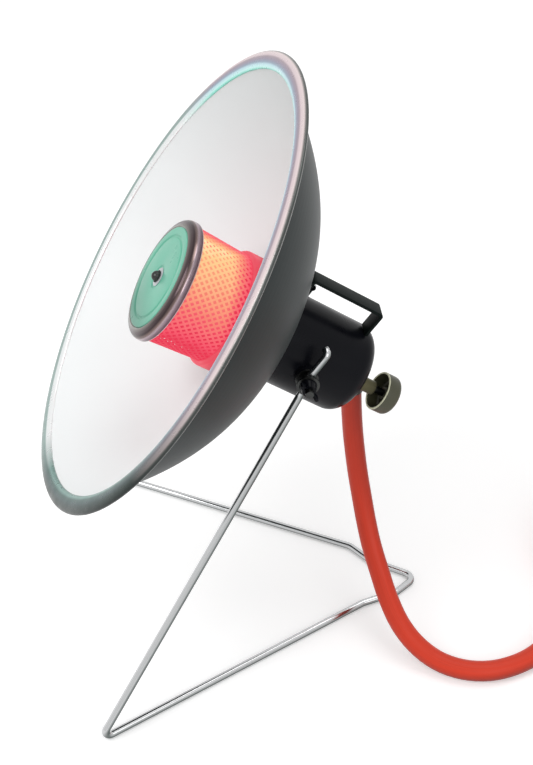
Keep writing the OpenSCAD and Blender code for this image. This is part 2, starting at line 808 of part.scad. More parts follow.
// hub and two flared wings
module wing_nut(side) {
    color(black) on_side(side) translate([0, 0, wing_x]) difference() {
        union() {
            cylinder(h = 6, r1 = 6.5, r2 = 5, $fn = 48);
            for (a = [0, 180]) rotate([0, 0, a + 40 * side]) hull() {
                translate([3, 0, 1.2]) cylinder(h = 3, r = 1.2, $fn = 24);
                translate([8, 0, 4.5]) cylinder(h = wing_h - 4.5, r = 1.4, $fn = 24);
                translate([3.5, 0, 4]) cylinder(h = 1.5, r = 1.2, $fn = 24);
            }
        }
        translate([0, 0, -1]) cylinder(h = wing_h + 2, r = thread_r + slip, $fn = 48);
    }
}

// ------------------------------------------------------------------- stand

// the wire's line at the pivot, seen from the side
function at_pivot(side, d) = [side * wire_x, pivot_y + d * cos(lean), pivot_h + d * sin(lean)];

function tail_end(side) =
    at_pivot(side, above_pivot) + tail_len * [0, cos(tail_lean), sin(tail_lean)];

function hook_end(side) = tail_end(side) + [-side * hook_in, -1.5, 0];

function leg_top(side) = [
    concat(at_pivot(side, -below_pivot), 12),
    concat(at_pivot(side, above_pivot), 10),
    concat(tail_end(side), 3.5),
    concat(hook_end(side), 0)
];

function backwards(list) = [for (i = [len(list) - 1 : -1 : 0]) list[i]];

function floor_corner(x, y, bend) = [x, pivot_y + y, wire_r, bend];

stand_path = concat(
    backwards(leg_top(1)),
    [
        floor_corner(foot_half, -foot_front, foot_bend),
        floor_corner(shoulder_half, shoulder_back, soft_bend),
        floor_corner(near_bend.x, near_bend.y, soft_bend),
        floor_corner(nose_x, nose_back, nose_bend),
        floor_corner(far_bend.x, far_bend.y, soft_bend),
        floor_corner(1 - shoulder_half, shoulder_back - 1, soft_bend),
        floor_corner(-foot_half, -foot_front, foot_bend)
    ],
    leg_top(-1)
);

module stand_wire() {
    color("#c4c6c4") soft_tube(wire_route(stand_path), wire_r, 16, [0, 1, 0]);
}

// -------------------------------------------------------------------- hose

hose_r = hose_d / 2;
// the free stretch below its elbow, down to the surface and along it
hose_start = head_point(-inlet_x, inlet_n, elbow_s) - [0, 0, elbow_drop];
hose_route = [
    [hose_start.x, hose_start.y, hose_start.z],
    [hose_start.x, hose_start.y, hose_start.z - 16],
    [-11, 92.5, 169],
    [-7, 94.5, 147.5],
    [-1, 97, 126],
    [7, 100, 106],
    [18, 103, 87],
    [31, 106.5, 70],
    [45.5, 111.5, 54],
    [62, 116.5, 40.5],
    [79.5, 124, 28],
    [93.5, 135.5, 17],
    [106, 151.5, 9.5],
    [116, 170.5, hose_r],
    [119.5, 192, hose_r],
    [115.5, 214, hose_r],
    [106, 234, hose_r],
    [91.5, 251, hose_r],
    [73, 264.5, hose_r],
    [51.5, 271.5, hose_r],
    [34.5, 272, hose_r]
];
route_end = hose_route[20];

// the stored length: a coil wound in two layers, in on the first layer and
// out again on the second, climbing in the half turn between them
coil_r = 92;
coil_pitch = hose_d + 0.8;
coil_in = 0.5625;
coil_climb = 0.5;
coil_turns = 1.625;
rings_a_turn = 24;
coil_centre = [route_end.x - hose_d, route_end.y + coil_r];

function coil_radius(t) =
    t < coil_in ? coil_r - coil_pitch * t :
    t < coil_in + coil_climb ? coil_r - coil_pitch * coil_in :
    coil_r - coil_pitch * coil_in + coil_pitch * (t - coil_in - coil_climb);

function coil_height(t) =
    let (k = max(0, min(1, (t - coil_in) / coil_climb)))
    hose_r + coil_pitch * (1 - cos(180 * k)) / 2;

function coil_point(t) = [
    coil_centre.x + coil_radius(t) * cos(-90 - 360 * t),
    coil_centre.y + coil_radius(t) * sin(-90 - 360 * t),
    coil_height(t)
];

coil_rings = coil_turns * rings_a_turn;
coil_turn_points = [for (i = [0 : coil_rings]) coil_point(i / rings_a_turn)];
coil_end = coil_turn_points[coil_rings];
coil_way = [sin(-90 - 360 * coil_turns), -cos(-90 - 360 * coil_turns), 0];
tail_start = coil_end + hose_d * coil_way;
coil_route = concat([route_end], coil_turn_points, [tail_start]);

// the least distance between the coil's turns, less the hose itself
coil_gap = min([for (i = [0 : coil_rings], j = [0 : coil_rings])
    if (abs(i - j) > rings_a_turn / 2) norm(coil_turn_points[i] - coil_turn_points[j])]) - hose_d;
echo(coil_gap = coil_gap);

// the last stretch comes down in an S to the coupling's own height
nut_r = nut_af / 2 / cos(30);
drop = tail_start.z - nut_r;
drop_run = 52;
function along_tail(d, z) = [tail_start.x + d * coil_way.x, tail_start.y + d * coil_way.y, z];
tail_route = concat(
    [tail_start],
    [for (k = [0 : 6])
        along_tail(hose_d + drop_run * k / 6, tail_start.z - drop * (1 - cos(30 * k)) / 2)],
    [along_tail(2 * hose_d + drop_run, nut_r)]
);
fitting = tail_route[8];

module gas_hose() {
    color(hose_red) soft_tube(hose_route, hose_r, 10, [1, 0, 0]);
}

module gas_hose_coil() {
    color(hose_red) soft_tube(coil_route, hose_r, 6, [0, 0, 1]);
}

module gas_hose_tail() {
    color(hose_red) soft_tube(tail_route, hose_r, 10, [0, 0, 1]);
}

module on_fitting() {
    translate(fitting) rotate([0, 90, atan2(coil_way.y, coil_way.x)]) children();
}

ferrule_len = 14;
collar_len = 6;
thread_len = 12;
nut_wall = 3;
spigot_r = nut_bore / 2 - 2.5;

module hose_ferrule() {
    r = hose_r + slip;
    color(steel) on_fitting() translate([0, 0, -ferrule_len]) difference() {
        cylinder(h = ferrule_len, r = r + 1, $fn = round_fn);
        translate([0, 0, -1]) cylinder(h = ferrule_len + 2, r = r, $fn = round_fn);
    }
}

// collar against the hose, with a flanged spigot that keeps the coupling nut
module hose_tailpiece() {
    color(brass) on_fitting() difference() {
        union() {
            cylinder(h = collar_len, r = hose_r, $fn = 48);
            translate([0, 0, collar_len - 0.5])
                cylinder(h = nut_wall + 2.5, r = spigot_r, $fn = 48);
            translate([0, 0, collar_len + nut_wall + 2 * gap])
                cylinder(h = 2, r = spigot_r + 1.5, $fn = 48);
        }
        translate([0, 0, -1]) cylinder(h = 20, r = 2.5, $fn = 32);
    }
}

// its first bore passes the spigot, the next holds the flange, the last is the thread
module coupling_nut() {
    seat = nut_wall + 2.6;
    color(brass) on_fitting() translate([0, 0, collar_len + gap]) difference() {
        hexagon(nut_af, seat + thread_len);
        translate([0, 0, -1]) cylinder(h = nut_wall + 2, r = spigot_r + gap, $fn = 48);
        translate([0, 0, nut_wall]) cylinder(h = 3.6, r = spigot_r + 1.8, $fn = 48);
        translate([0, 0, seat]) cylinder(h = thread_len + 1, d = nut_bore, $fn = 64);
    }
}

// ------------------------------------------------------------------- nodes

reflector_dish();
housing_can();
front_plate();
plate_screws();
carry_handle();
burner_base();
mesh_bridge();
tie_rod();
inner_gauze();
radiant_mesh();
cap_shell();
cap_plate();
cap_nut();
mixing_tube();
gas_jet();
valve_body();
gland_nut();
inlet_elbow();
hose_clip();
valve_plunger();
valve_spindle();
control_knob();
pivot_bush(1);  // pivot_bush_right
pivot_bush(-1);  // pivot_bush_left
pivot_stud(1);  // pivot_stud_right
pivot_stud(-1);  // pivot_stud_left
friction_washer(1);  // friction_washer_right
friction_washer(-1);  // friction_washer_left
pressure_washer(1);  // pressure_washer_right
pressure_washer(-1);  // pressure_washer_left
wing_nut(1);  // wing_nut_right
wing_nut(-1);  // wing_nut_left
stand_wire();
gas_hose();
gas_hose_coil();
gas_hose_tail();
hose_ferrule();
hose_tailpiece();
coupling_nut();
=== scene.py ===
"""The looks of a portable parabolic gas heater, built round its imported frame."""

import json
import math

import bmesh
import bpy
from mathutils import Matrix, Vector


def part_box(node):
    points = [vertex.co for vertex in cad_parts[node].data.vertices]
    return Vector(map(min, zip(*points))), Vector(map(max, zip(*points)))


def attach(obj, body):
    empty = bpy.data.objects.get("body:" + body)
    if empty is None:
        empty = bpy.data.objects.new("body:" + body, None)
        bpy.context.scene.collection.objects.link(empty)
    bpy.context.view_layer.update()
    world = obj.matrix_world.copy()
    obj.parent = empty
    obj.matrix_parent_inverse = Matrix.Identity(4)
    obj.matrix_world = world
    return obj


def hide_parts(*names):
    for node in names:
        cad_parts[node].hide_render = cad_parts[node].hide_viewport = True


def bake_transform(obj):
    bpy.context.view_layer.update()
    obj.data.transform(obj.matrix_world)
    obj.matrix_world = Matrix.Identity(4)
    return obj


bl_info = {
    "name": "Parabolic Gas Heater",
    "version": (1, 0, 0),
    "blender": (4, 5, 0),
    "location": "View3D > Sidebar > Heater",
    "description": "Builds a portable gas heater with a spun reflector",
    "category": "Add Mesh",
}

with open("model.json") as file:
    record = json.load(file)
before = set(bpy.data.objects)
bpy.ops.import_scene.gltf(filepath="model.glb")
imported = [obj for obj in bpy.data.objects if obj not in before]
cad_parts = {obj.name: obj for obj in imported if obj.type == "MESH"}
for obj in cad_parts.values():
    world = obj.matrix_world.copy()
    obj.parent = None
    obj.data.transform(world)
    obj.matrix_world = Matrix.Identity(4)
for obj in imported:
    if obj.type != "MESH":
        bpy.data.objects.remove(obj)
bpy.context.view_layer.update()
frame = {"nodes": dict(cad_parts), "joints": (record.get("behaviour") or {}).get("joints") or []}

# ------------------------------------------------------------------ places

# The tilt axis, and the upward tilt of the reflector at rest
PIVOT = Vector(next(j["pos_m"] for j in frame["joints"] if j["name"] == "tilt"))
REST_TILT = math.radians(34)

# The head's own frame in millimetres: x across, y its normal, z forward
HEAD = (
    Matrix.Translation(PIVOT)
    @ Matrix.Rotation(math.pi / 2 - REST_TILT, 4, "X")
    @ Matrix.Scale(0.001, 4)
)

# The way to the far side of the rim, in the head's own frame
FAR_SIDE = (-0.788, -0.616, 0)

# Millimetres in a metre
MM = 1000

# Heights along the head's axis from the tilt axis, millimetres
BOWL_SEAT = 38.0
MESH_FOOT = 70.0
MESH_TOP = 116.2
CAP_FOOT = 114.5
CAP_SIDE = 118.0
CAP_TOP = 124.2
KNOB_FRONT = -71.0
KNOB_BACK = -84.0
HANDLE_FRONT = 30.0
HANDLE_REAR = -36.0

# The bowl's flat bottom in radius, and the power of its curve
BOWL_FLAT = 36.5
BOWL_POWER = 2.9

# How far the handle's top and the knob's spindle lie from the head's axis
HANDLE_TOP = 57.5
SPINDLE_X = 10.0

# The camera stands where the photograph was taken from
CAMERA_AIM = PIVOT + Vector((0, -0.0255, -0.0335))
CAMERA_TURN = math.radians(84.5)
CAMERA_RISE = math.radians(39.2)
CAMERA_DISTANCE = 0.9995
CAMERA_LENS = 61.65

# The hose's free stretch, metres
HOSE_START = HEAD @ Vector((-12, -6, -55.3)) - Vector((0, 0, 0.007))
HOSE_ROUTE = [
    (HOSE_START.x, HOSE_START.y, HOSE_START.z),
    (HOSE_START.x, HOSE_START.y, HOSE_START.z - 0.016),
    (-0.011, 0.0925, 0.169),
    (-0.007, 0.0945, 0.1475),
    (-0.001, 0.097, 0.126),
    (0.007, 0.1, 0.106),
    (0.018, 0.103, 0.087),
    (0.031, 0.1065, 0.07),
    (0.0455, 0.1115, 0.054),
    (0.062, 0.1165, 0.0405),
    (0.0795, 0.124, 0.028),
    (0.0935, 0.1355, 0.017),
    (0.106, 0.1515, 0.0095),
    (0.116, 0.1705, 0.00825),
    (0.1195, 0.192, 0.00825),
    (0.1155, 0.214, 0.00825),
    (0.106, 0.234, 0.00825),
    (0.0915, 0.251, 0.00825),
    (0.073, 0.2645, 0.00825),
    (0.0515, 0.2715, 0.00825),
    (0.0345, 0.272, 0.00825),
]

# The stored coil: metres, and turns of its way in, its climb and all of it
COIL_RADIUS = 0.092
COIL_PITCH = 0.0173
COIL_IN = 0.5625
COIL_CLIMB = 0.5
COIL_TURNS = 1.625
COIL_STEPS = 48

# The hose's end, from the coil down to its coupling
END_LENGTH = 0.052
END_STEPS = 12

# The attribute of painted shade: how far a vertex faces down, and to one side, away from the
# lamps
PAINTED_SHADE_ATTRIBUTE = "painted_shade"


# ------------------------------------------------------------ small helpers


def linear(code):
    """A colour written as sRGB hex, as linear numbers."""
    parts = [int(code[i : i + 2], 16) / 255 for i in (1, 3, 5)]
    return [c / 12.92 if c <= 0.04045 else ((c + 0.055) / 1.055) ** 2.4 for c in parts]


def rgba(colour):
    """A linear colour with its alpha."""
    return (*colour[:3], 1.0)


def arc(r, s, radius, first, last, steps):
    """Points of an arc in a profile's plane, angles in degrees."""
    angles = [first + (last - first) * i / steps for i in range(steps + 1)]
    return [
        (r + radius * math.cos(math.radians(a)), s + radius * math.sin(math.radians(a)))
        for a in angles
    ]


def turned(profile, steps=128, closed=True, axis=(0, 0)):
    """A profile of (radius, height) points in the head's millimetres, spun round."""
    bm = bmesh.new()
    verts = [bm.verts.new((r, 0, s)) for r, s in profile]
    edges = [bm.edges.new(pair) for pair in zip(verts, verts[1:])]
    if closed:
        edges.append(bm.edges.new((verts[-1], verts[0])))
    bmesh.ops.spin(
        bm,
        geom=verts + edges,
        cent=(0, 0, 0),
        axis=(0, 0, 1),
        angle=2 * math.pi,
        steps=steps,
        use_merge=True,
    )
    bmesh.ops.remove_doubles(bm, verts=bm.verts, dist=0.002)
    bmesh.ops.recalc_face_normals(bm, faces=bm.faces)
    bmesh.ops.transform(
        bm, matrix=HEAD @ Matrix.Translation((*axis, 0)), verts=bm.verts
    )
    return bm


def piece(name, bm, body, materials, sharp=35, nodes=()):
    """Makes the object of a finished mesh, which rides on a body."""
    mesh = bpy.data.meshes.new(name)
    bm.to_mesh(mesh)
    bm.free()
    return dress(bpy.data.objects.new(name, mesh), body, materials, sharp, nodes)


def dress(obj, body, materials, sharp=35, nodes=()):
    """Gives an object its materials, its body, and the CAD nodes it stands for."""
    for made in materials:
        obj.data.materials.append(made)
    obj.data.polygons.foreach_set("use_smooth", [True] * len(obj.data.polygons))
    obj.data.set_sharp_from_angle(angle=math.radians(sharp))
    bpy.context.scene.collection.objects.link(obj)
    if body:
        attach(obj, body)
    if nodes:
        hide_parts(*nodes)
    return obj


def tube_mesh(name, points, radius, sides=8):
    """A round tube through points, made from a curve with a round bevel."""
    curve = bpy.data.curves.new(name, "CURVE")
    curve.dimensions = "3D"
    curve.bevel_depth = radius
    curve.bevel_resolution = sides
    curve.use_fill_caps = True
    spline = curve.splines.new("POLY")
    spline.points.add(len(points) - 1)
    for place, point in zip(spline.points, points):
        place.co = (*point, 1)
    helper = bpy.data.objects.new(name, curve)
    bpy.context.scene.collection.objects.link(helper)
    bpy.context.view_layer.update()
    mesh = bpy.data.meshes.new_from_object(
        helper.evaluated_get(bpy.context.evaluated_depsgraph_get())
    )
    bpy.data.objects.remove(helper)
    bpy.data.curves.remove(curve)
    mesh.name = name
    mesh.materials.clear()
    return bpy.data.objects.new(name, mesh)


def smooth_line(points, steps=4):
    """More points on a smooth line through the given ones."""
    points = [Vector(p) for p in points]
    line = []
    for i in range(len(points) - 1):
        before = points[max(i - 1, 0)]
        a, b = points[i], points[i + 1]
        after = points[min(i + 2, len(points) - 1)]
        for k in range(steps):
            t = k / steps
            line.append(
                0.5
                * (
                    2 * a
                    + (b - before) * t
                    + (2 * before - 5 * a + 4 * b - after) * t**2
                    + (3 * a - before - 3 * b + after) * t**3
                )
            )
    line.append(points[-1])
    return line


def bent_line(corners, step=4):
    """The line of a bent wire: corners of (x, y, z, bend radius), metres."""
    places = [Vector(c[:3]) for c in corners]
    line = [places[0]]
    for i in range(1, len(corners) - 1):
        u = (places[i] - places[i - 1]).normalized()
        v = (places[i + 1] - places[i]).normalized()
        bend = corners[i][3]
        turn = math.acos(max(-1, min(1, u.dot(v))))
        inward = (v - u * u.dot(v)).normalized()
        start = places[i] - u * bend * math.tan(turn / 2)
        count = max(2, math.ceil(math.degrees(turn) / step))
        for k in range(count + 1):
            a = turn * k / count
            line.append(
                start + inward * bend * (1 - math.cos(a)) + u * bend * math.sin(a)
            )
    line.append(places[-1])
    return line


def mark_painted_shade(obj):
    """Keeps with each vertex its painted shade, from nought to one: how far it faces down and to
    one side.
    """
    # painted shade: the way down and to one side, away from the lamps
    down = Vector((0.2, 0.45, -0.85))
    shade = obj.data.attributes.new(PAINTED_SHADE_ATTRIBUTE, "FLOAT", "POINT")
    shade.data.foreach_set(
        "value",
        [min(1, max(0, 0.4 + 1.3 * v.normal.dot(down))) for v in obj.data.vertices],
    )
    return obj


# --------------------------------------------------------------- materials


def add_node(tree, kind, inputs=(), **settings):
    """One node with its settings, and its inputs as values or links."""
    made = tree.nodes.new(kind)
    for name, value in settings.items():
        setattr(made, name, value)
    for name, value in dict(inputs).items():
        if isinstance(value, bpy.types.NodeSocket):
            tree.links.new(value, made.inputs[name])
        else:
            made.inputs[name].default_value = value
    return made


def material(name, colour=None, roughness=None, metallic=0.0, **sockets):
    """A material with its constant values on the shader's own sockets.

    A colour or roughness left out comes from a link.
    """
    made = bpy.data.materials.new(name)
    made.use_nodes = True
    inputs = made.node_tree.nodes["Principled BSDF"].inputs
    if colour is not None:
        inputs["Base Color"].default_value = rgba(colour)
    if roughness is not None:
        inputs["Roughness"].default_value = roughness
    inputs["Metallic"].default_value = metallic
    for socket, value in sockets.items():
        inputs[socket.replace("_", " ")].default_value = value
    return made


def feed(made, socket, output):
    """Links an output to a socket of the material's shader."""
    tree = made.node_tree
    tree.links.new(output, tree.nodes["Principled BSDF"].inputs[socket])


def head_place(tree):
    """Object coordinates in the head's own frame, in metres."""
    coordinates = add_node(tree, "ShaderNodeTexCoord")
    turn = Matrix.Rotation(REST_TILT - math.pi / 2, 4, "X")
    return add_node(
        tree,
        "ShaderNodeMapping",
        {
            "Vector": coordinates.outputs["Object"],
            "Location": -(turn @ PIVOT),
            "Rotation": (REST_TILT - math.pi / 2, 0, 0),
        },
        vector_type="POINT",
    ).outputs["Vector"]


def axes(tree, place):
    """The separate X, Y and Z of a place."""
    return add_node(tree, "ShaderNodeSeparateXYZ", {0: place}).outputs


def off_axis(tree, place):
    """The distance of a place from the head's axis."""
    flat = add_node(
        tree, "ShaderNodeVectorMath", {0: place, 1: (1, 1, 0)}, operation="MULTIPLY"
    )
    return add_node(
        tree, "ShaderNodeVectorMath", {0: flat.outputs[0]}, operation="LENGTH"
    ).outputs["Value"]


def between(tree, value, first, last, low=0.0, high=1.0):
    """A value's way from first to last, as a number from low to high."""
    return add_node(
        tree,
        "ShaderNodeMapRange",
        {
            "Value": value,
            "From Min": first,
            "From Max": last,
            "To Min": low,
            "To Max": high,
        },
    ).outputs["Result"]


def mixed(tree, share, first, last):
    """A mix of two colours, each a socket or an RGBA value."""
    return add_node(
        tree,
        "ShaderNodeMix",
        {"Factor": share, "A": first, "B": last},
        data_type="RGBA",
    ).outputs["Result"]


def colour_ramp(tree, share, *stops):
    """A colour ramp through stops of (position, sRGB hex)."""
    ramp = add_node(tree, "ShaderNodeValToRGB", {"Fac": share})
    points = ramp.color_ramp.elements
    points[0].position, points[0].color = stops[0][0], rgba(linear(stops[0][1]))
    points[1].position, points[1].color = stops[-1][0], rgba(linear(stops[-1][1]))
    for position, code in stops[1:-1]:
        points.new(position).color = rgba(linear(code))
    return ramp.outputs["Color"]


def bump(made, height, strength, depth):
    """Bumps of a depth in metres on the material's shader."""
    raised = add_node(
        made.node_tree,
        "ShaderNodeBump",
        {"Height": height, "Strength": strength, "Distance": depth},
    )
    feed(made, "Normal", raised.outputs["Normal"])


def speckle(made, size, depth, roughness, colours=None):
    """Fine bumps of a size in metres, with the roughness and colour they vary by."""
    tree = made.node_tree
    place = add_node(tree, "ShaderNodeTexCoord").outputs["Object"]
    fine = add_node(
        tree, "ShaderNodeTexNoise", {"Vector": place, "Scale": 1 / size, "Detail": 4}
    )
    bump(made, fine.outputs["Fac"], 0.5, depth)
    broad = add_node(
        tree, "ShaderNodeTexNoise", {"Vector": place, "Scale": 0.08 / size, "Detail": 3}
    ).outputs["Fac"]
    feed(made, "Roughness", between(tree, broad, 0.3, 0.7, *roughness))
    if colours:
        feed(made, "Base Color", mixed(tree, broad, *[rgba(c) for c in colours]))
    return made


def seen_rays(tree):
    """One for rays from the camera, also by way of metal or glass, else nought."""
    rays = add_node(tree, "ShaderNodeLightPath")
    seen = rays.outputs["Is Camera Ray"]
    for ray in ("Is Glossy Ray", "Is Transmission Ray"):
        seen = add_node(
            tree, "ShaderNodeMath", {0: seen, 1: rays.outputs[ray]}, operation="MAXIMUM"
        ).outputs[0]
    return seen


def studio_floor(colour):
    # Matt white paper: it takes the shadows, and looks white where it is lit
    made = material("Matt white paper", colour, 0.9)
    tree = made.node_tree
    lift = add_node(
        tree, "ShaderNodeMath", {0: seen_rays(tree), 1: 0.34}, operation="MULTIPLY"
    )
    glow = add_node(tree, "ShaderNodeEmission", {"Strength": lift.outputs[0]})
    both = add_node(
        tree,
        "ShaderNodeAddShader",
        {0: tree.nodes["Principled BSDF"].outputs[0], 1: glow.outputs[0]},
    )
    end = tree.nodes["Material Output"]
    tree.links.new(both.outputs[0], end.inputs["Surface"])
    return made


def enamel_white(colour):
    # Stoved white enamel, sprayed: a satin film, its texture barely felt, with painted
    # shade that greys it a little towards the top of the bowl, above the burner
    made = material("Satin white stove enamel", Specular_IOR_Level=0.45)
    speckle(made, 0.0012, 0.00002, (0.38, 0.48))
    tree = made.node_tree
    # painted shade: the enamel greys to 0.74 of its white towards the top
    painted_shade_top = between(tree, axes(tree, head_place(tree))["Y"], 0.0, 0.165)
    painted_shade_grey = rgba([c * 0.74 for c in colour])
    feed(made, "Base Color", mixed(tree, painted_shade_top, rgba(colour), painted_shade_grey))
    return made


def enamel_grey(colour):
    # Spun aluminium sprayed dark: satin, with the faint rings of the spinning
    made = material(
        "Dark grey enamel on spun aluminium", colour, 0.4, Specular_IOR_Level=0.12
    )
    tree = made.node_tree
    rings = add_node(
        tree,
        "ShaderNodeTexNoise",
        {"W": off_axis(tree, head_place(tree)), "Scale": 450, "Detail": 2},
        noise_dimensions="1D",
    )
    bump(made, rings.outputs["Fac"], 0.35, 0.0001)
    return made


def pressed_rim(middle, half, height):
    # Lacquered aluminium, rolled and pressed flat. Its colours are painted sheen,
    # from cyan inside over mauve to rose outside, and painted shade, teal low down
    # and dark underneath. The far side holds a painted reflection of the white bowl
    # inside, with a teal grey edge
    made = material("Lacquered aluminium rim", metallic=0.55)
    speckle(made, 0.0006, 0.000002, (0.24, 0.36))
    tree = made.node_tree
    place = head_place(tree)
    parts = axes(tree, place)
    across = between(tree, off_axis(tree, place), middle - half, middle + half)
    # painted sheen and reflection across the rim, dark at its outer edge as painted shade
    upper = colour_ramp(
        tree, across, (0.0, "#86d6c4"), (0.08, "#c4ecea"), (0.2, "#bfdfe8"),
        (0.3, "#93a4b6"), (0.46, "#9a90a2"), (0.6, "#a3939c"), (0.7, "#d8c6ca"),
        (0.88, "#e2d2d2"), (0.96, "#6c6c6a"), (1.0, "#3e4341"),
    )
    # painted shade for the rim's lower part, teal to near black
    painted_shade_lower = colour_ramp(
        tree, across, (0.0, "#6a8a83"), (0.14, "#7a9c95"), (0.28, "#425f5a"),
        (0.5, "#33494a"), (0.6, "#263b39"), (0.8, "#1b2c28"), (1.0, "#121c1a"),
    )
    # painted shade takes over towards the bottom of the rim
    low = between(tree, parts["Y"], 0.05, -0.045)
    painted_sheen_near = mixed(tree, low, upper, painted_shade_lower)
    # painted reflection of the white bowl on the rim's far side, with a teal grey edge
    painted_reflection_far = colour_ramp(
        tree, across, (0.0, "#eceeee"), (0.24, "#e4e8e8"), (0.32, "#8ea6a1"),
        (0.6, "#7a918c"), (1.0, "#687a7a"),
    )
    away = add_node(
        tree,
        "ShaderNodeVectorMath",
        {0: place, 1: FAR_SIDE},
        operation="DOT_PRODUCT",
    ).outputs["Value"]
    face = mixed(tree, between(tree, away, 0.058, 0.1), painted_sheen_near, painted_reflection_far)
    # painted shade under the rim, a dark grey green
    painted_shade_under = between(tree, parts["Z"], height - 0.0008, height - 0.002)
    feed(made, "Base Color", mixed(tree, painted_shade_under, face, rgba(linear("#46504e"))))
    return made


def black_enamel(colour):
    # Semi-gloss black stove enamel on pressed steel, with a little orange peel
    made = material("Semi-gloss black stove enamel", colour, Specular_IOR_Level=0.09)
    return speckle(made, 0.0016, 0.00003, (0.24, 0.36))


def handle_enamel(colour):
    # Brushed-on enamel of the strap: flatter and greener than the can's
    made = material("Greenish black enamel", colour, Specular_IOR_Level=0.06)
    return speckle(made, 0.0016, 0.00003, (0.34, 0.46))


def clouded_metal(name, size, roughness, *codes):
    """A bare metal with clouds of two colours, given in sRGB hex."""
    made = material(name, metallic=1.0)
    return speckle(made, size, 0.00001, roughness, [linear(code) for code in codes])


def plated_steel():
    # Zinc-plated steel: pale and slightly clouded
    return clouded_metal(
        "Zinc plated steel", 0.0008, (0.26, 0.4), "#a9adb2", "#c9cbcd"
    )


def blackened_steel():
    # Oiled black steel: dark, with small glints on its edges
    return clouded_metal("Blackened steel", 0.0008, (0.22, 0.4), "#2c2d2e", "#4d4e4c")


def tarnished_brass():
    # Valve brass browned by heat and handling to a dull olive
    return clouded_metal("Tarnished brass", 0.0009, (0.3, 0.48), "#3c3b2e", "#5e5a44")


def turned_brass():
    # Turned brass: warm, bright on the edges, duller in the grooves
    return clouded_metal("Turned brass", 0.0009, (0.22, 0.4), "#a8843c", "#cdaa62")


def chromed_wire(colour):
    # Chromed steel wire: bright, with painted shade, a dull dark green, where it faces down and
    # to one side
    made = material("Chromed steel wire", metallic=1.0)
    speckle(made, 0.0007, 0.000008, (0.1, 0.2))
    tree = made.node_tree
    # painted shade where the wire faces down, dark grey green
    shade = add_node(tree, "ShaderNodeAttribute", attribute_name=PAINTED_SHADE_ATTRIBUTE)
    wire_painted_shade = rgba(linear("#3f4a47"))
    feed(
        made, "Base Color", mixed(tree, shade.outputs["Fac"], rgba(colour), wire_painted_shade)
    )
    return made


def chromed_rim(low, high):
    # Chrome with painted reflections in bands along its height: smoky purple, with a pale foot
    made = material("Chrome with painted reflection bands", metallic=1.0)
    speckle(made, 0.001, 0.00001, (0.14, 0.28))
    tree = made.node_tree
    up = between(tree, axes(tree, head_place(tree))["Z"], low, high)
    # painted reflection bands, from the foot up to the face
    painted_reflection_bands = colour_ramp(
        tree, up, (0.0, "#f2dde2"), (0.07, "#e2c8ce"), (0.13, "#6a565c"),
        (0.3, "#94808a"), (0.46, "#c0aab2"), (0.58, "#7c6a66"), (0.74, "#3e3436"),
        (0.88, "#54484a"), (0.95, "#76706c"), (1.0, "#8f968e"),
    )
    feed(made, "Base Color", painted_reflection_bands)
    return made


def mint_enamel(colour):
    # Vitreous enamel on the cap's face: satin, with painted shade that darkens it towards its
    # foot
    made = material("Mint green vitreous enamel", Specular_IOR_Level=0.3)
    speckle(made, 0.0015, 0.00002, (0.26, 0.38), ([c * 0.9 for c in colour], colour))
    tree = made.node_tree
    shader = tree.nodes["Principled BSDF"]
    even = shader.inputs["Base Color"].links[0].from_socket
    # painted shade, down to 0.42 of the colour at the face's foot
    painted_shade_foot = between(tree, axes(tree, head_place(tree))["Y"], -0.006, -0.046)
    feed(
        made, "Base Color", mixed(tree, painted_shade_foot, even, rgba([c * 0.42 for c in colour]))
    )
    return made


def burner_glow(name, tint, shift):
    # Glowing steel: straw yellow high up, where it is hottest, over salmon to
    # crimson low down and at its foot
    made = material(name, tint, 0.7, Emission_Strength=1.0)
    tree = made.node_tree
    place = head_place(tree)
    parts = axes(tree, place)
    cloud = add_node(
        tree, "ShaderNodeTexNoise", {"Vector": place, "Scale": 60, "Detail": 2}
    )
    wander = add_node(
        tree,
        "ShaderNodeMath",
        {0: cloud.outputs["Fac"], 1: 0.16, 2: shift - 0.08},
        operation="MULTIPLY_ADD",
    ).outputs[0]
    least = add_node(
        tree,
        "ShaderNodeMath",
        {0: parts["Y"], 1: 16.0, 2: 0.3},
        operation="MULTIPLY_ADD",
    ).outputs[0]
    off_foot = between(tree, parts["Z"], 0.07, 0.09, 0.05, 1.05)
    one_side = between(tree, parts["X"], -0.012, 0.004, 0.2, 1.1)
    for limit, softness in ((off_foot, 0.15), (one_side, 0.1)):
        least = add_node(
            tree,
            "ShaderNodeMath",
            {0: least, 1: limit, 2: softness},
            operation="SMOOTH_MIN",
        ).outputs[0]
    heat = add_node(tree, "ShaderNodeMath", {0: least, 1: wander}, operation="ADD")
    glow = colour_ramp(
        tree, heat.outputs[0], (0.0, "#e2324e"), (0.12, "#ee4c62"), (0.3, "#f2686e"),
        (0.48, "#f1826e"), (0.64, "#f69c78"), (0.8, "#f8b684"), (0.95, "#f9cb8c"),
        (1.0, "#fde3ae"),
    )
    feed(made, "Emission Color", glow)
    return made


def heat_tinted(colour):
    # The cup's sheet steel: crimson hot at its lip, dull and dark towards its foot
    made = material(
        "Heat tinted sheet steel", colour, metallic=0.3, Emission_Strength=0.9
    )
    speckle(made, 0.0012, 0.00003, (0.36, 0.55))
    tree = made.node_tree
    heat = between(tree, axes(tree, head_place(tree))["Z"], 0.051, 0.069)
    glow = colour_ramp(
        tree, heat, (0.0, "#000000"), (0.25, "#4c101a"), (0.5, "#b02438"),
        (0.8, "#da2e46"), (1.0, "#e83e54"),
    )
    feed(made, "Emission Color", glow)
    return made


def moulded_knob(colour):
    # Phenolic moulding: dense and satin, with the fine flow of its mould
    made = material("Moulded phenolic")
    return speckle(
        made, 0.0009, 0.00002, (0.34, 0.5), ([c * 0.8 for c in colour], colour)
    )


def painted_rim_highlight(colour):
    # The same moulding, painted pale on its rim as a highlight
    made = material("Phenolic rim with painted highlight", colour)
    return speckle(made, 0.0009, 0.00002, (0.4, 0.55))


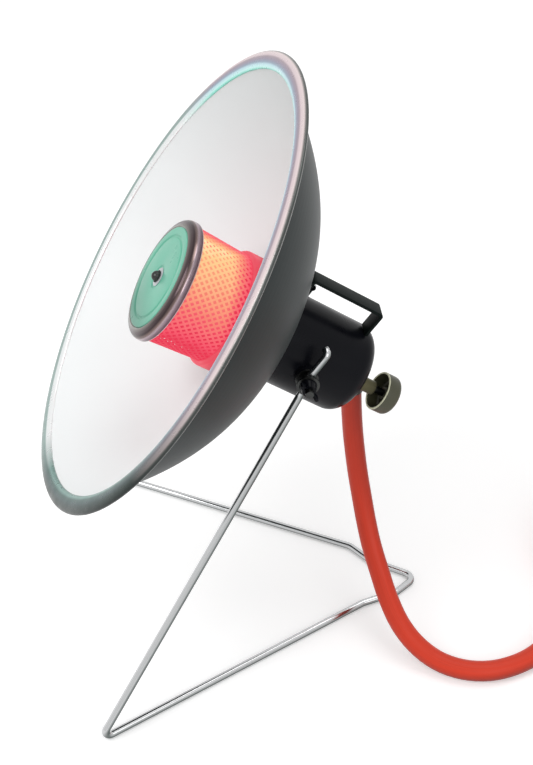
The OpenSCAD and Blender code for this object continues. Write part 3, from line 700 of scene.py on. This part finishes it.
def rubber_hose(colour):
    # Extruded rubber hose: satin, with lengthwise streaks, and painted shade, a deeper red,
    # where it faces down
    made = material("Extruded orange rubber", roughness=0.42, Specular_IOR_Level=0.25)
    tree = made.node_tree
    coordinates = add_node(tree, "ShaderNodeTexCoord")
    long = add_node(
        tree,
        "ShaderNodeMapping",
        {"Vector": coordinates.outputs["UV"], "Scale": (6, 60, 1)},
    )
    streak = add_node(
        tree,
        "ShaderNodeTexNoise",
        {"Vector": long.outputs["Vector"], "Scale": 2, "Detail": 3},
    )
    streaked = mixed(
        tree,
        streak.outputs["Fac"],
        rgba([c * 0.8 for c in colour]),
        rgba([min(1, c * 1.15) for c in colour]),
    )
    # painted shade where the hose faces down, down to 0.4 of its red
    shade = add_node(tree, "ShaderNodeAttribute", attribute_name=PAINTED_SHADE_ATTRIBUTE)
    hose_painted_shade = rgba([c * 0.4 for c in colour])
    feed(made, "Base Color", mixed(tree, shade.outputs["Fac"], streaked, hose_painted_shade))
    fine = add_node(
        tree,
        "ShaderNodeTexNoise",
        {"Vector": coordinates.outputs["Object"], "Scale": 900},
    )
    bump(made, fine.outputs["Fac"], 0.3, 0.00003)
    return made


MADE = {}


def shared(make, *values):
    """A material that several operators use, made once."""
    key = make.__name__
    found = bpy.data.materials.get(MADE.get(key, ""))
    if found:
        return found
    made = make(*values)
    MADE[key] = made.name
    return made


def paint_nodes(made, *names):
    """Gives CAD nodes that stay as they are their material."""
    for name in names:
        node = frame["nodes"][name]
        node.data.materials.clear()
        node.data.materials.append(made)


# -------------------------------------------------------- sizes and colours


def length(name, description, default):
    """A property for a length in metres."""
    return bpy.props.FloatProperty(
        name=name, description=description, default=default, min=0, unit="LENGTH",
        precision=4,
    )


def colour(name, description, code):
    """A property for a colour, its default in sRGB hex."""
    return bpy.props.FloatVectorProperty(
        name=name, description=description, default=linear(code), size=3,
        subtype="COLOR", min=0, max=1,
    )


class HeaterSizes(bpy.types.PropertyGroup):
    """Sizes of the pieces that are made here."""

    rim_diameter: length("Rim diameter", "Diameter over the pressed rim", 0.356)
    rim_width: length("Rim width", "Width of the pressed rim", 0.014)
    rim_thickness: length("Rim thickness", "Thickness of the pressed rim", 0.0056)
    bowl_depth: length("Bowl depth", "Rim's middle down to the flat bottom", 0.083)
    bowl_wall: length("Bowl wall", "Thickness of the spun sheet", 0.001)
    strap_width: length("Strap width", "Width of the handle's strap", 0.0145)
    strap_thickness: length("Strap thickness", "Thickness of the strap", 0.0025)
    mesh_diameter: length("Mesh diameter", "Diameter of the glowing mesh", 0.085)
    diamond_height: length("Diamond height", "One diamond along the burner", 0.0058)
    strand_width: length("Strand width", "Width of a strand of the mesh", 0.0014)
    cap_diameter: length("Cap diameter", "Diameter over the cap's rim", 0.093)
    face_diameter: length("Face diameter", "Diameter of the enamelled face", 0.0796)
    knob_diameter: length("Knob diameter", "Diameter of the control knob", 0.031)
    wire_diameter: length("Wire diameter", "Diameter of the stand's wire", 0.006)
    hose_diameter: length("Hose diameter", "Outer diameter of the hose", 0.0165)
    diamonds: bpy.props.IntProperty(
        name="Diamonds", description="Diamonds in one row round the mesh", default=52,
        min=8, max=200,
    )


class HeaterColours(bpy.types.PropertyGroup):
    """Colours of the pieces that are made here."""

    bowl_inside: colour("Bowl inside", "Enamel inside the reflector", "#eff5f5")
    bowl_outside: colour("Bowl outside", "Finish outside the reflector", "#222929")
    black: colour("Black", "Enamel of the can", "#0d0e13")
    handle: colour("Handle", "Enamel of the strap handle", "#0e1614")
    cap_face: colour("Cap face", "Enamel of the cap's face", "#71bfa5")
    chrome: colour("Chrome", "Plating of the stand's wire", "#c4c5c6")
    knob: colour("Knob", "Moulding of the knob", "#43432f")
    # the colour of the painted highlight on the knob's rim
    knob_rim: colour("Knob rim", "Painted highlight on the knob's rim", "#e0e0c2")
    hose: colour("Hose", "Rubber of the hose", "#dd4028")
    floor: colour("Floor", "Floor under the heater", "#f4f4f4")


# ------------------------------------------------------------------ pieces


class HEATER_OT_stage(bpy.types.Operator):
    """Camera, lamps, world and floor, at the photograph's viewing angle"""

    bl_idname = "heater.stage"
    bl_label = "Stage"

    def execute(self, context):
        scene = context.scene
        back = Vector(
            (
                math.sin(CAMERA_TURN) * math.cos(CAMERA_RISE),
                -math.cos(CAMERA_TURN) * math.cos(CAMERA_RISE),
                math.sin(CAMERA_RISE),
            )
        )
        lens = bpy.data.cameras.new("Camera")
        lens.lens = CAMERA_LENS
        camera = bpy.data.objects.new("Camera", lens)
        camera.location = CAMERA_AIM + back * CAMERA_DISTANCE
        camera.rotation_euler = back.to_track_quat("Z", "Y").to_euler()
        scene.collection.objects.link(camera)
        scene.camera = camera
        scene.view_settings.view_transform = "Standard"

        world = bpy.data.worlds.new("Studio")
        world.use_nodes = True
        scene.world = world
        tree = world.node_tree
        tree.nodes.clear()
        soft = add_node(tree, "ShaderNodeBackground", {"Strength": 0.55})
        white = add_node(tree, "ShaderNodeBackground", {"Strength": 1.0})
        for light in (soft, white):
            light.inputs["Color"].default_value = (1, 1, 1, 1)
        mix = add_node(
            tree,
            "ShaderNodeMixShader",
            {0: seen_rays(tree), 1: soft.outputs[0], 2: white.outputs[0]},
        )
        add_node(tree, "ShaderNodeOutputWorld", {"Surface": mix.outputs[0]})

        for name, place, size, power in (
            ("Key", (0.6, -1.6, 2.2), 1.6, 26),
            ("Fill", (2.0, 0.9, 1.6), 1.8, 12),
            ("Top", (-0.4, 0.6, 2.6), 1.4, 10),
        ):
            lamp = bpy.data.lights.new(name, "AREA")
            lamp.shape = "DISK"
            lamp.size = size
            lamp.energy = power
            holder = bpy.data.objects.new(name, lamp)
            holder.location = place
            aim = PIVOT - Vector(place)
            holder.rotation_euler = aim.to_track_quat("-Z", "Y").to_euler()
            scene.collection.objects.link(holder)

        bm = bmesh.new()
        bmesh.ops.create_grid(bm, x_segments=1, y_segments=1, size=6)
        floor = piece("floor", bm, None, [studio_floor(scene.heater_colours.floor)])
        return {"FINISHED"}


class HEATER_OT_hose(bpy.types.Operator):
    """Rubber gas hose: free stretch, stored coil, and the end in its coupling"""

    bl_idname = "heater.hose"
    bl_label = "Hose"

    def execute(self, context):
        radius = context.scene.heater_sizes.hose_diameter / 2
        last = Vector(HOSE_ROUTE[-1])
        centre = Vector((last.x - 2 * radius, last.y + COIL_RADIUS, 0))

        def coil_point(t):
            """A place on the coil, t turns in."""
            climb = max(0, min(1, (t - COIL_IN) / COIL_CLIMB))
            wound = min(t, COIL_IN) - max(0, t - COIL_IN - COIL_CLIMB)
            r = COIL_RADIUS - COIL_PITCH * wound
            z = radius + COIL_PITCH * (1 - math.cos(math.pi * climb)) / 2
            a = math.radians(-90 - 360 * t)
            return centre + Vector((r * math.cos(a), r * math.sin(a), z))

        count = int(COIL_TURNS * COIL_STEPS)
        coil = [coil_point(i / COIL_STEPS) for i in range(count + 1)]
        a = math.radians(-90 - 360 * COIL_TURNS)
        way = Vector((math.sin(a), -math.cos(a), 0))
        begin = coil[-1] + way * 2 * radius
        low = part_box("coupling_nut")[1].z / 2
        tail = [begin]
        for k in range(END_STEPS + 1):
            point = begin + way * (2 * radius + END_LENGTH * k / END_STEPS)
            fall = (1 - math.cos(math.pi * k / END_STEPS)) / 2
            point.z = begin.z - (begin.z - low) * fall
            tail.append(point)
        end = begin + way * (4 * radius + END_LENGTH)
        end.z = low
        tail.append(end)
        path = smooth_line(HOSE_ROUTE, 4) + coil + tail
        hose = dress(
            mark_painted_shade(tube_mesh("rubber_hose", path, radius, 6)),
            None,
            [rubber_hose(context.scene.heater_colours.hose)],
            50,
            ("gas_hose", "gas_hose_coil", "gas_hose_tail"),
        )
        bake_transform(hose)
        paint_nodes(shared(plated_steel), "hose_ferrule")
        paint_nodes(shared(turned_brass), "hose_tailpiece", "coupling_nut")
        return {"FINISHED"}


class HEATER_OT_reflector(bpy.types.Operator):
    """Spun bowl, white inside and dark outside, with its pressed rim"""

    bl_idname = "heater.reflector"
    bl_label = "Reflector"

    def execute(self, context):
        sizes = context.scene.heater_sizes
        colours = context.scene.heater_colours
        wide = sizes.rim_width * MM / 2
        thick = sizes.rim_thickness * MM / 2
        middle = sizes.rim_diameter * MM / 2 - wide
        rim = middle - wide + 1
        depth = sizes.bowl_depth * MM
        wall = sizes.bowl_wall * MM
        brim = BOWL_SEAT + depth
        low = (BOWL_FLAT / rim) ** BOWL_POWER

        def rise(r):
            """How far the bowl has risen at a radius."""
            if r <= BOWL_FLAT:
                return 0
            return depth * ((r / rim) ** BOWL_POWER - low) / (1 - low)

        # radii on the flat bottom, from its hole out, and then up the wall to
        # just inside the rim
        steps = 44
        climb = rim - 1.6 - BOWL_FLAT
        radii = [12.5, 20, 28, 34]
        radii += [BOWL_FLAT + climb * i / steps for i in range(steps + 1)]
        inner = [(r, BOWL_SEAT + rise(r)) for r in radii]
        outer = []
        for r in reversed(radii):
            slope = (rise(r + 0.01) - rise(r)) / 0.01
            width = wall / math.sqrt(1 + slope * slope)
            outer.append((r + slope * width, BOWL_SEAT + rise(r) - width))
        rolled = [
            (middle + wide * r, brim + thick * s)
            for r, s in arc(0, 0, 1, 195, -147, 36)
        ]
        bm = turned(inner + rolled + outer, 192)
        back = HEAD.inverted()
        for face in bm.faces:
            place = back @ face.calc_center_median()
            r = math.hypot(place.x, place.y)
            across, up = (r - middle) / wide, (place.z - brim) / thick
            if math.hypot(across, up) < 1.02:
                face.material_index = 2
            elif place.z < BOWL_SEAT + rise(r) - wall * 0.4:
                face.material_index = 1
        piece(
            "reflector_bowl",
            bm,
            "head",
            [
                enamel_white(colours.bowl_inside),
                enamel_grey(colours.bowl_outside),
                pressed_rim(middle / MM, wide / MM, brim / MM),
            ],
            40,
            ("reflector_dish",),
        )
        return {"FINISHED"}


class HEATER_OT_can(bpy.types.Operator):
    """Enamelled can behind the reflector, with its strap handle"""

    bl_idname = "heater.can"
    bl_label = "Can and handle"

    def execute(self, context):
        sizes = context.scene.heater_sizes
        black = shared(black_enamel, context.scene.heater_colours.black)
        paint_nodes(black, "housing_can", "front_plate")
        paint_nodes(shared(plated_steel), "plate_screws")

        # the handle: a ribbon along its middle line, thickened and bevelled
        width = sizes.strap_width * MM
        thick = sizes.strap_thickness * MM
        front = HANDLE_FRONT - thick / 2
        rear = HANDLE_REAR + thick / 2
        top = HANDLE_TOP - thick / 2
        # the bend's radius, and how far out the sides' points lie
        bend, foot, waist = 3.0, 34.4, 45
        line = [(rear, foot), (rear, waist)]
        line += arc(rear + bend, top - bend, bend, 180, 90, 6)
        line += arc(front - bend, top - bend, bend, 90, 0, 6)
        line += [(front, waist), (front, foot)]
        bm = bmesh.new()
        verts = [bm.verts.new((-width / 2, n, s)) for s, n in line]
        edges = [bm.edges.new(pair) for pair in zip(verts, verts[1:])]
        drawn = bmesh.ops.extrude_edge_only(bm, edges=edges)["geom"]
        bmesh.ops.translate(
            bm,
            verts=[v for v in drawn if isinstance(v, bmesh.types.BMVert)],
            vec=(width, 0, 0),
        )
        bmesh.ops.recalc_face_normals(bm, faces=bm.faces)
        bmesh.ops.solidify(bm, geom=bm.faces, thickness=thick)
        reach = max(v.co.y for v in bm.verts)
        bmesh.ops.translate(bm, verts=bm.verts, vec=(0, HANDLE_TOP - reach, 0))
        rims = [
            e
            for e in bm.edges
            if len(e.link_faces) == 2
            and e.calc_face_angle(0) > math.radians(60)
        ]
        bmesh.ops.bevel(
            bm,
            geom=rims,
            offset=0.5,
            offset_type="OFFSET",
            affect="EDGES",
            segments=3,
            profile=0.5,
            material=-1,
        )
        bmesh.ops.recalc_face_normals(bm, faces=bm.faces)
        bmesh.ops.transform(bm, matrix=HEAD, verts=bm.verts)
        strap = handle_enamel(context.scene.heater_colours.handle)
        piece("strap_handle", bm, "head", [strap], 35, ("carry_handle",))
        return {"FINISHED"}


class HEATER_OT_burner(bpy.types.Operator):
    """Burner cup, glowing gauze and the diamond mesh round it"""

    bl_idname = "heater.burner"
    bl_label = "Burner"

    def execute(self, context):
        sizes = context.scene.heater_sizes
        colours = context.scene.heater_colours
        mesh_r = sizes.mesh_diameter * MM / 2

        # the cup, with its rolled lip
        cup = (
            [(12.2, BOWL_SEAT), (31, BOWL_SEAT)]
            + arc(31, 40.3, 2.3, -90, -10, 4)
            + [(43.2, 51.5)]
            + arc(41.5, 56.5, 4.0, -25, 0, 3)
            + arc(42.5, 69, 3.0, 0, 85, 8)
            + [(42.6, 72), (42.6, MESH_FOOT), (35.7, MESH_FOOT)]
            + [(35.7, 68.5), (44.3, 68.5)]
            + [(44.3, 56), (42.3, 52), (32.1, 39.2), (12.2, 39.2)]
        )
        tinted = heat_tinted(linear("#4a2224"))
        piece(
            "burner_cup", turned(cup, 128), "head", [tinted], 35, ("burner_base",),
        )
        paint_nodes(shared(plated_steel), "mesh_bridge", "tie_rod", "mixing_tube")

        # the gauze behind the mesh glows through its openings
        hot = burner_glow("Glowing fine gauze", linear("#2c0a06"), -0.2)
        outside, inside = 37.5, 36.7
        gauze = turned(
            [(outside, MESH_FOOT), (outside, MESH_TOP)]
            + [(inside, MESH_TOP), (inside, MESH_FOOT)],
            96,
        )
        piece("glowing_gauze", gauze, "head", [hot], 35, ("inner_gauze",))

        # the mesh: squares poked into diamonds, inset to strands, then rolled up
        tall = MESH_TOP - MESH_FOOT
        rows = round(tall / (sizes.diamond_height * MM))
        bm = bmesh.new()
        bmesh.ops.create_grid(
            bm, x_segments=sizes.diamonds, y_segments=rows, size=0.5
        )
        squares = bm.edges[:]
        bmesh.ops.poke(bm, faces=bm.faces)
        bmesh.ops.scale(bm, vec=(2 * math.pi * mesh_r, tall, 1), verts=bm.verts)
        between_two = [e for e in squares if e.is_valid and len(e.link_faces) == 2]
        bmesh.ops.dissolve_edges(bm, edges=between_two, use_verts=False)
        diamonds = [f for f in bm.faces if len(f.verts) == 4]
        bmesh.ops.inset_individual(
            bm,
            faces=diamonds,
            thickness=sizes.strand_width * MM / 2,
            use_even_offset=True,
        )
        bmesh.ops.delete(bm, geom=diamonds, context="FACES")
        # the sleeve widens from a height up to its top
        flare, flare_from, strand_depth = 1.9, 75.8, 0.8
        for vert in bm.verts:
            a = vert.co.x / mesh_r
            s = vert.co.y + (MESH_FOOT + MESH_TOP) / 2
            r = mesh_r + flare * max(0, (s - flare_from) / (MESH_TOP - flare_from))
            vert.co = Vector((r * math.cos(a), r * math.sin(a), s))
        bmesh.ops.remove_doubles(bm, verts=bm.verts, dist=0.01)
        bmesh.ops.recalc_face_normals(bm, faces=bm.faces)
        bmesh.ops.solidify(bm, geom=bm.faces, thickness=strand_depth)
        bmesh.ops.transform(bm, matrix=HEAD, verts=bm.verts)
        warm = burner_glow("Glowing expanded steel mesh", linear("#3a0f0c"), -0.01)
        piece("glowing_mesh", bm, "head", [warm], 35, ("radiant_mesh",))
        return {"FINISHED"}


class HEATER_OT_cap(bpy.types.Operator):
    """Cap of the burner: chrome rim with painted reflection bands, and grooved enamel face"""

    bl_idname = "heater.cap"
    bl_label = "Cap"

    def execute(self, context):
        sizes = context.scene.heater_sizes
        colours = context.scene.heater_colours
        r = sizes.cap_diameter * MM / 2
        face = sizes.face_diameter * MM / 2
        top, low, side = CAP_TOP, CAP_FOOT, CAP_SIDE
        rim = (
            [(2.8, top - 3.2), (face - 1.4, top - 3.2), (face - 0.6, top - 0.6)]
            + [(face + 0.2, top - 0.2)]
            + arc(r - 5.6, side, 5.6, 56, 0, 8)
            + arc(r - 1.2, low + 1.2, 1.2, 0, -90, 5)
            + [(44.6, low), (44.6, low + 0.9), (r - 1.2, low + 2.1)]
            + arc(r - 5.6, side, 4.6, 0, 56, 8)
            + [(face + 0.4, top - 2.0), (face - 0.6, top - 4.2), (2.8, top - 4.2)]
        )
        piece(
            "cap_rim", turned(rim, 128), "head",
            [chromed_rim(low / MM, top / MM)], 30,
            ("cap_shell",),
        )
        groove = 0.8 * face
        plate = (
            [(2.8, top - 1.8), (face - 1.8, top - 1.8), (face - 0.9, top - 1.2)]
            + arc(face - 1.6, top - 0.9, 0.9, 0, 90, 6)
            + arc(groove + 1.8, top - 0.8, 0.8, 90, 150, 3)
            + [(groove + 0.7, top - 0.9), (groove - 0.7, top - 0.9)]
            + arc(groove - 1.8, top - 0.8, 0.8, 30, 90, 3)
            + arc(9.5, top - 0.5, 0.5, 90, 150, 3)
            + [(8.5, top - 0.8), (2.8, top - 0.8)]
        )
        piece(
            "cap_face", turned(plate, 128), "head",
            [mint_enamel(colours.cap_face)], 20, ("cap_plate",),
        )
        washer = turned(
            [(4.2, top - 0.9), (7.2, top - 0.9), (7.2, top - 0.3), (6.4, top + 0.1)]
            + [(4.2, top + 0.1)],
            48,
        )
        piece(
            "cap_washer", washer, "head", [shared(plated_steel)], 35,
        )
        paint_nodes(shared(blackened_steel), "cap_nut")
        return {"FINISHED"}


class HEATER_OT_controls(bpy.types.Operator):
    """Valve, spindle and the cup-shaped control knob"""

    bl_idname = "heater.controls"
    bl_label = "Valve and knob"

    def execute(self, context):
        sizes = context.scene.heater_sizes
        colours = context.scene.heater_colours
        r = sizes.knob_diameter * MM / 2
        front, back, wall, soft = KNOB_FRONT, KNOB_BACK, 1.6, 4.0
        hub, hub_end, bore, bore_end = 5.0, -76.0, 3.05, -82.1
        cup = (
            [(0, back)]
            + arc(r - soft, back + soft, soft, -90, 0, 8)
            + [(r, front - 0.6)]
            + arc(r - 0.6, front - 0.6, 0.6, 0, 90, 3)
            + arc(r - wall + 0.4, front - 0.4, 0.4, 90, 180, 3)
            + arc(r - soft, back + soft, soft - wall, 0, -90, 8)
            + [(hub + 0.6, back + wall)]
            + arc(hub + 0.6, back + wall + 0.6, 0.6, -90, -180, 3)
            + [(hub, hub_end - 0.5)]
            + arc(hub - 0.5, hub_end - 0.5, 0.5, 0, 90, 3)
            + [(bore, hub_end), (bore, bore_end), (0, bore_end)]
        )
        bm = turned(cup, 96, closed=False, axis=(SPINDLE_X, 0))
        # the faces of the knob's rim take the painted highlight
        inverse = HEAD.inverted()
        for face in bm.faces:
            place = inverse @ face.calc_center_median()
            out = math.hypot(place.x - SPINDLE_X, place.y)
            if place.z > front - 1.1 and out > r - 3:
                face.material_index = 1
        moulded = [moulded_knob(colours.knob), painted_rim_highlight(colours.knob_rim)]
        piece(
            "cup_knob", bm, "knob", moulded, 35, ("control_knob",)
        )
        paint_nodes(shared(blackened_steel), "valve_spindle", "valve_plunger", "hose_clip")
        paint_nodes(shared(tarnished_brass), "valve_body", "gland_nut", "inlet_elbow")
        paint_nodes(shared(turned_brass), "gas_jet")
        return {"FINISHED"}


class HEATER_OT_stand(bpy.types.Operator):
    """Stand bent from one chromed wire"""

    bl_idname = "heater.stand"
    bl_label = "Wire stand"

    def execute(self, context):
        radius = context.scene.heater_sizes.wire_diameter / 2
        # how the legs and their tails lean, how far out the legs stand, and the
        # tails' length
        lean, tail_lean = math.radians(65.5), math.radians(56.5)
        leg_x, tail_length = 0.0437, 0.019

        def leg(side):
            """One leg's top, from below its eye to its hook."""
            along = Vector((0, math.cos(lean), math.sin(lean)))
            onward = Vector((0, math.cos(tail_lean), math.sin(tail_lean)))
            middle = PIVOT + Vector((side * leg_x, 0, 0))
            upper = middle + along * 0.010
            tail = upper + onward * tail_length
            hook = tail + Vector((-side * 0.005, -0.0015, 0))
            return [
                (*(middle - along * 0.014), 0.012),
                (*upper, 0.010),
                (*tail, 0.0035),
                (*hook, 0),
            ]

        def low(x, y, bend):
            """A corner of the wire that lies on the floor."""
            return (x, PIVOT.y + y, radius, bend)

        corners = (
            leg(1)[::-1]
            + [
                low(0.152, -0.169, 0.005),
                low(0.034, 0.054, 0.014),
                low(0.025, 0.084, 0.014),
                low(0.009, 0.105, 0.007),
                low(-0.014, 0.068, 0.014),
                low(-0.033, 0.053, 0.014),
                low(-0.152, -0.169, 0.005),
            ]
            + leg(-1)
        )
        dress(
            mark_painted_shade(tube_mesh("bent_wire", bent_line(corners), radius, 6)),
            "stand",
            [chromed_wire(context.scene.heater_colours.chrome)],
            50,
            ("stand_wire",),
        )
        return {"FINISHED"}


class HEATER_OT_pivots(bpy.types.Operator):
    """Bushes, studs, washers and wing nuts of the two pivots"""

    bl_idname = "heater.pivots"
    bl_label = "Pivots"

    def execute(self, context):
        black = shared(black_enamel, context.scene.heater_colours.black)
        for side in ("right", "left"):
            paint_nodes(black, f"pivot_bush_{side}", f"wing_nut_{side}")
            paint_nodes(
                shared(blackened_steel),
                f"pivot_stud_{side}",
                f"friction_washer_{side}",
                f"pressure_washer_{side}",
            )
        return {"FINISHED"}


class HEATER_PT_panel(bpy.types.Panel):
    """Lists the steps that build the heater"""

    bl_label = "Parabolic Gas Heater"
    bl_idname = "HEATER_PT_panel"
    bl_space_type = "VIEW_3D"
    bl_region_type = "UI"
    bl_category = "Heater"

    def draw(self, context):
        for step in STEPS:
            self.layout.operator(step.bl_idname)
        for group in (context.scene.heater_sizes, context.scene.heater_colours):
            box = self.layout.box()
            for name in group.__annotations__:
                box.prop(group, name)


STEPS = (
    HEATER_OT_stage,
    HEATER_OT_hose,
    HEATER_OT_reflector,
    HEATER_OT_can,
    HEATER_OT_burner,
    HEATER_OT_cap,
    HEATER_OT_controls,
    HEATER_OT_stand,
    HEATER_OT_pivots,
)
CLASSES = (HeaterSizes, HeaterColours, *STEPS, HEATER_PT_panel)


def register():
    for cls in CLASSES:
        bpy.utils.register_class(cls)
    bpy.types.Scene.heater_sizes = bpy.props.PointerProperty(type=HeaterSizes)
    bpy.types.Scene.heater_colours = bpy.props.PointerProperty(type=HeaterColours)


def unregister():
    del bpy.types.Scene.heater_colours
    del bpy.types.Scene.heater_sizes
    for cls in reversed(CLASSES):
        bpy.utils.unregister_class(cls)


def main():
    register()
    for step in STEPS:
        family, name = step.bl_idname.split(".")
        getattr(getattr(bpy.ops, family), name)()


if __name__ == "__main__":
    main()
